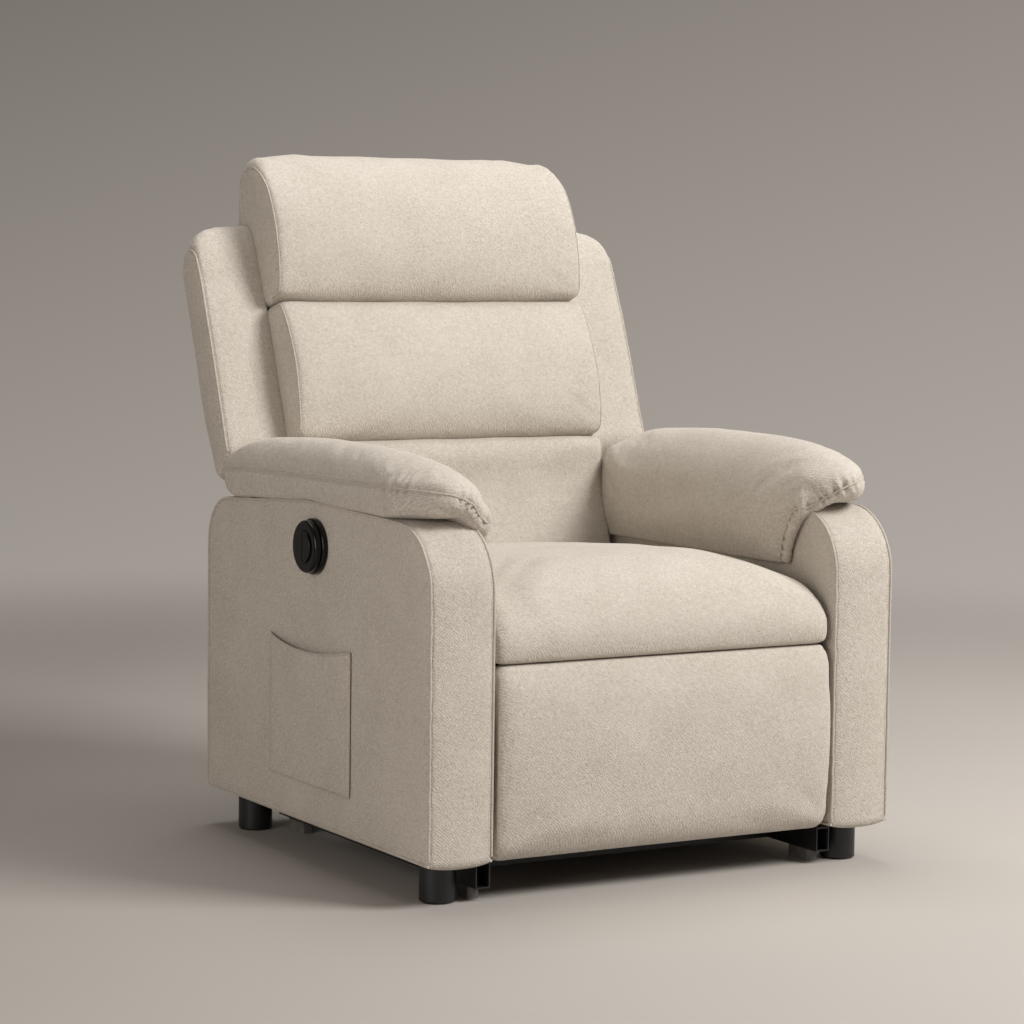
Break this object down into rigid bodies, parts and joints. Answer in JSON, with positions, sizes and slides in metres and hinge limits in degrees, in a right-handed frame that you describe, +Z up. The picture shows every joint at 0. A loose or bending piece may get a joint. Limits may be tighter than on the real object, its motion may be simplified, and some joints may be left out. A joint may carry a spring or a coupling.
{
  "type": "power lift recliner armchair",
  "caption": "Upholstered power recliner on a steel base: the footrest extends, the backrest reclines and a link base raises and tilts the seat to help a sitter stand.",
  "frame": {"origin": "on the floor, under the middle of the chair's width and depth", "axes": "+Z up, +Y towards the back of the chair, +X towards the sitter's left"},
  "size_m": [0.8085, 0.8897, 1.0473],
  "materials": {
    "linen": "woven linen-look upholstery",
    "black_steel": "satin black powder coat",
    "zinc_steel": "bright zinc plate",
    "spring_steel": "oiled spring wire",
    "board": "raw plywood and pine",
    "webbing": "woven elastic webbing",
    "foot_plastic": "moulded, fine texture",
    "gloss_black": "glossy moulded",
    "drive_plastic": "moulded housing",
    "grey_block": "moulded nylon"
  },
  "bodies": {
    "base": {"base_side_rails": "black_steel", "base_foot_blocks": "grey_block", "base_crossbars": "black_steel", "lift_ears": "black_steel", "lift_base_pins": "zinc_steel", "lift_guide_rail": "zinc_steel", "lift_drive_brackets": "black_steel", "lift_gearbox": "drive_plastic", "lift_motor": "drive_plastic", "power_supply": "drive_plastic", "power_inlet": "drive_plastic"},
    "lift_front_linkage": {"lift_front_links": "black_steel", "lift_torque_tube": "black_steel", "lift_levers": "black_steel"},
    "lift_rear_linkage": {"lift_rear_links": "black_steel"},
    "lift_slider_block": {"lift_slider": "drive_plastic", "lift_slider_pin": "zinc_steel"},
    "chair": {"mechanism_lug_plates": "black_steel", "mechanism_side_plates": "black_steel", "mechanism_cross_tubes": "black_steel", "mechanism_pins": "zinc_steel", "seat_frame": "board", "seat_springs": "spring_steel", "seat_cushion": "linen", "arm_bolts": "zinc_steel", "arm_frame_left": "board", "arm_frame_right": "board", "arm_cover_left": "linen", "arm_cover_right": "linen", "arm_pad_left": "linen", "arm_pad_right": "linen", "arm_feet": "foot_plastic", "rear_apron": "linen", "side_pocket": "linen", "control_bezel": "gloss_black", "control_body": "gloss_black", "control_nut": "grey_block"},
    "footrest_crank": {"footrest_cranks": "black_steel", "footrest_torque_tube": "black_steel", "footrest_crank_pins": "zinc_steel"},
    "footrest_main_link": {"footrest_main_links": "black_steel", "footrest_main_pins": "zinc_steel"},
    "footrest_guide_link": {"footrest_guide_links": "black_steel"},
    "footrest_upper_link": {"footrest_upper_links": "black_steel"},
    "footrest": {"footrest_pad": "linen", "footrest_board": "board", "footrest_brackets": "black_steel"},
    "backrest": {"back_frame": "board", "back_webbing": "webbing", "back_brackets": "black_steel", "back_outer_panel": "linen", "back_lower_cushion": "linen", "back_middle_cushion": "linen", "back_head_cushion": "linen", "back_wing_left": "linen", "back_wing_right": "linen"},
    "button_front": {"control_button_front": "gloss_black"},
    "button_rear": {"control_button_rear": "gloss_black"}
  },
  "joints": [
    {"name": "lift", "type": "hinge", "parent": "base", "child": "lift_front_linkage", "pos_m": [0, -0.2622, 0.0699], "axis": [1, 0, 0], "range_deg": [0, 58]},
    {"name": "lift_tilt", "type": "hinge", "parent": "lift_front_linkage", "child": "chair", "pos_m": [0, -0.0375, 0.08], "axis": [1, 0, 0], "range_deg": [-38, 0]},
    {"name": "lift_rear_swing", "type": "hinge", "parent": "base", "child": "lift_rear_linkage", "pos_m": [0, -0.2082, 0.1004], "axis": [1, 0, 0], "range_deg": [0, 50.7]},
    {"name": "lift_slider_travel", "type": "slide", "parent": "base", "child": "lift_slider_block", "axis": [0, -1, 0], "range_m": [0, 0.1286]},
    {"name": "footrest_extend", "type": "hinge", "parent": "chair", "child": "footrest_crank", "pos_m": [0, -0.233, 0.306], "axis": [-1, 0, 0], "range_deg": [0, 90]},
    {"name": "footrest_main_swing", "type": "hinge", "parent": "footrest_crank", "child": "footrest_main_link", "pos_m": [0, -0.148, 0.114], "axis": [-1, 0, 0], "range_deg": [-90, 0]},
    {"name": "footrest_turn", "type": "hinge", "parent": "footrest_main_link", "child": "footrest", "pos_m": [0, -0.342, 0.23], "axis": [-1, 0, 0], "range_deg": [0, 90]},
    {"name": "footrest_guide_swing", "type": "hinge", "parent": "chair", "child": "footrest_guide_link", "pos_m": [0, -0.16859, 0.26749], "axis": [-1, 0, 0], "range_deg": [0, 90]},
    {"name": "footrest_upper_swing", "type": "hinge", "parent": "footrest_crank", "child": "footrest_upper_link", "pos_m": [0, -0.17027, 0.1643], "axis": [-1, 0, 0], "range_deg": [-90, 0]},
    {"name": "back_recline", "type": "hinge", "parent": "chair", "child": "backrest", "pos_m": [0, 0.188, 0.332], "axis": [-1, 0, 0], "range_deg": [0, 38]},
    {"name": "button_front_press", "type": "slide", "parent": "chair", "child": "button_front", "axis": [1, 0, 0], "range_m": [0, 0.0025], "stiffness_N_per_m": 300},
    {"name": "button_rear_press", "type": "slide", "parent": "chair", "child": "button_rear", "axis": [1, 0, 0], "range_m": [0, 0.0025], "stiffness_N_per_m": 300}
  ],
  "couplings": [
    {"joint": "lift_tilt", "follows": "lift", "ratio": -0.65517},
    {"joint": "lift_rear_swing", "follows": "lift", "ratio": 0.87414},
    {"joint": "lift_slider_travel", "follows": "lift", "m_per_rad": 0.12704},
    {"joint": "footrest_main_swing", "follows": "footrest_extend", "ratio": -1},
    {"joint": "footrest_turn", "follows": "footrest_extend", "ratio": 1},
    {"joint": "footrest_guide_swing", "follows": "footrest_extend", "ratio": 1},
    {"joint": "footrest_upper_swing", "follows": "footrest_extend", "ratio": -1}
  ]
}
